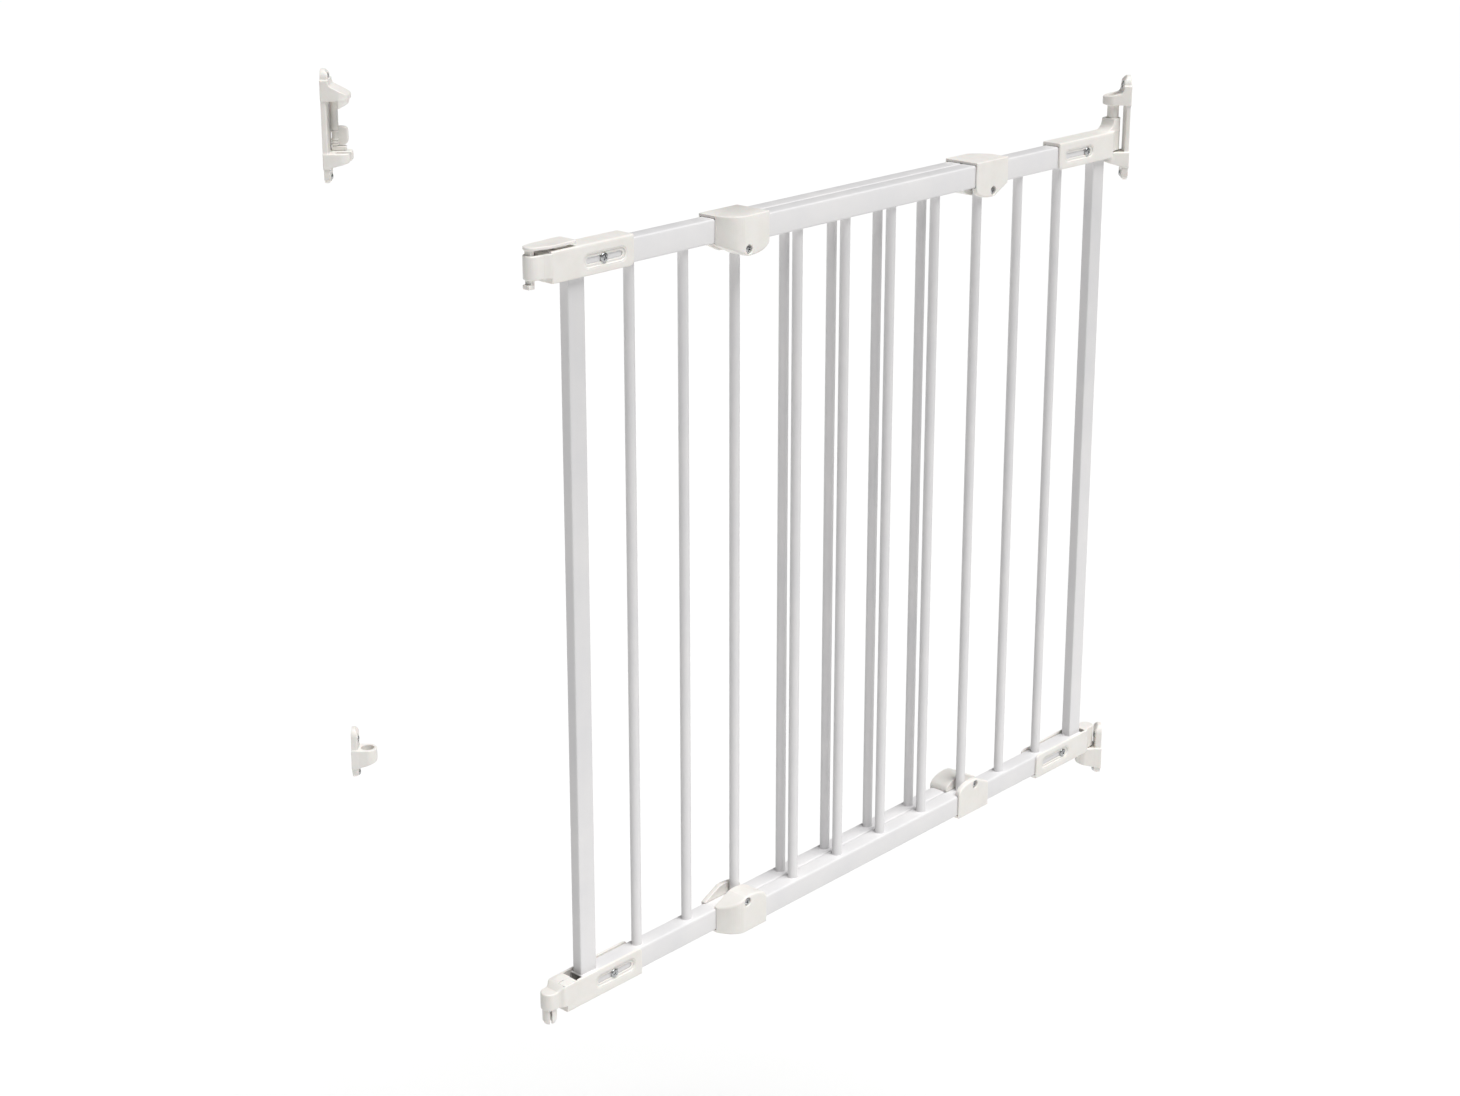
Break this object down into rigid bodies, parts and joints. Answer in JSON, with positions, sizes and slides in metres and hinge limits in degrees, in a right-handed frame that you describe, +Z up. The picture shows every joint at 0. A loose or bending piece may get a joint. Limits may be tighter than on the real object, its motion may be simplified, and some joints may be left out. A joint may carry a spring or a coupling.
{
  "type": "safety baby gate",
  "caption": "Extending safety gate: barred steel frames that telescope between moulded corners, wall hinge brackets, lift-off pins and a hooked thumb latch.",
  "frame": {"origin": "centre of the wall face of the lower hinge bracket", "axes": "+X into the hinge-side wall, -Y to the side that the gate opens to, +Z up"},
  "size_m": [0.872, 0.6207, 0.828],
  "materials": {
    "powder_coated_steel": "white powder coat, fine satin",
    "white_moulding": "warm white moulded plastic, satin",
    "zinc_plate": "bright zinc plate"
  },
  "bodies": {
    "hinge_wall": {"upper_hinge_bracket": "white_moulding", "lower_hinge_bracket": "white_moulding", "upper_hinge_wall_screw_1": "zinc_plate", "upper_hinge_wall_screw_2": "zinc_plate", "lower_hinge_wall_screw_1": "zinc_plate", "lower_hinge_wall_screw_2": "zinc_plate"},
    "hinge_pins": {"upper_hinge_pin": "white_moulding", "lower_hinge_pin": "white_moulding"},
    "hinge_end": {"upper_hinge_corner": "white_moulding", "lower_hinge_corner": "white_moulding"},
    "hinge_frame": {"hinge_frame_upper_rail": "powder_coated_steel", "hinge_frame_lower_rail": "powder_coated_steel", "hinge_frame_stile": "powder_coated_steel", "hinge_frame_bar_1": "powder_coated_steel", "hinge_frame_bar_2": "powder_coated_steel", "hinge_frame_bar_3": "powder_coated_steel", "hinge_frame_bar_4": "powder_coated_steel", "hinge_frame_bar_5": "powder_coated_steel", "hinge_frame_bar_6": "powder_coated_steel", "hinge_frame_bar_7": "powder_coated_steel", "hinge_frame_upper_sleeve": "white_moulding", "hinge_frame_upper_fixing_screw": "zinc_plate", "hinge_frame_upper_clamp_screw": "zinc_plate", "hinge_frame_upper_corner_screw": "zinc_plate", "hinge_frame_lower_sleeve": "white_moulding", "hinge_frame_lower_fixing_screw": "zinc_plate", "hinge_frame_lower_clamp_screw": "zinc_plate", "hinge_frame_lower_corner_screw": "zinc_plate"},
    "latch_frame": {"latch_frame_upper_rail": "powder_coated_steel", "latch_frame_lower_rail": "powder_coated_steel", "latch_frame_stile": "powder_coated_steel", "latch_frame_bar_1": "powder_coated_steel", "latch_frame_bar_2": "powder_coated_steel", "latch_frame_bar_3": "powder_coated_steel", "latch_frame_bar_4": "powder_coated_steel", "latch_frame_bar_5": "powder_coated_steel", "latch_frame_bar_6": "powder_coated_steel", "latch_frame_bar_7": "powder_coated_steel", "latch_frame_upper_sleeve": "white_moulding", "latch_frame_upper_fixing_screw": "zinc_plate", "latch_frame_upper_clamp_screw": "zinc_plate", "latch_frame_upper_corner_screw": "zinc_plate", "latch_frame_lower_sleeve": "white_moulding", "latch_frame_lower_fixing_screw": "zinc_plate", "latch_frame_lower_clamp_screw": "zinc_plate", "latch_frame_lower_corner_screw": "zinc_plate"},
    "latch_end": {"upper_latch_corner": "white_moulding", "lower_latch_corner": "white_moulding", "latch_pin_key": "white_moulding", "lower_latch_pin": "white_moulding", "latch_spring": "zinc_plate"},
    "thumb_latch": {"thumb_latch": "white_moulding"},
    "latch_wall": {"upper_catch_bracket": "white_moulding", "lower_latch_bracket": "white_moulding", "swing_stop_block": "white_moulding", "swing_stop_spindle": "white_moulding", "upper_catch_wall_screw_1": "zinc_plate", "upper_catch_wall_screw_2": "zinc_plate", "lower_latch_wall_screw_1": "zinc_plate", "lower_latch_wall_screw_2": "zinc_plate"}
  },
  "joints": [
    {"name": "gate_lift", "type": "slide", "parent": "hinge_wall", "child": "hinge_pins", "axis": [0, 0, 1], "range_m": [0, 0.0135]},
    {"name": "gate_swing", "type": "hinge", "parent": "hinge_pins", "child": "hinge_end", "pos_m": [-0.018, 0, 0], "axis": [0, 0, -1], "range_deg": [-44, 45]},
    {"name": "hinge_reach", "type": "slide", "parent": "hinge_end", "child": "hinge_frame", "axis": [0.6912, 0.7227, 0], "range_m": [-0.034, 0.002]},
    {"name": "width_adjust", "type": "slide", "parent": "hinge_frame", "child": "latch_frame", "axis": [-0.6912, -0.7227, 0], "range_m": [-0.08, 0.19]},
    {"name": "latch_reach", "type": "slide", "parent": "latch_frame", "child": "latch_end", "axis": [0.6912, 0.7227, 0], "range_m": [-0.019, 0.009]},
    {"name": "latch_slide", "type": "slide", "parent": "latch_end", "child": "thumb_latch", "axis": [0.6912, 0.7227, 0], "range_m": [0, 0.0065], "stiffness_N_per_m": 300, "springref_m": -0.008, "deforming": ["latch_spring"]},
    {"name": "opening_width", "type": "slide", "parent": "hinge_wall", "child": "latch_wall", "axis": [-1, 0, 0], "range_m": [-0.08, 0.19]}
  ],
  "couplings": [
    {"joint": "opening_width", "follows": "width_adjust", "ratio": 1}
  ]
}
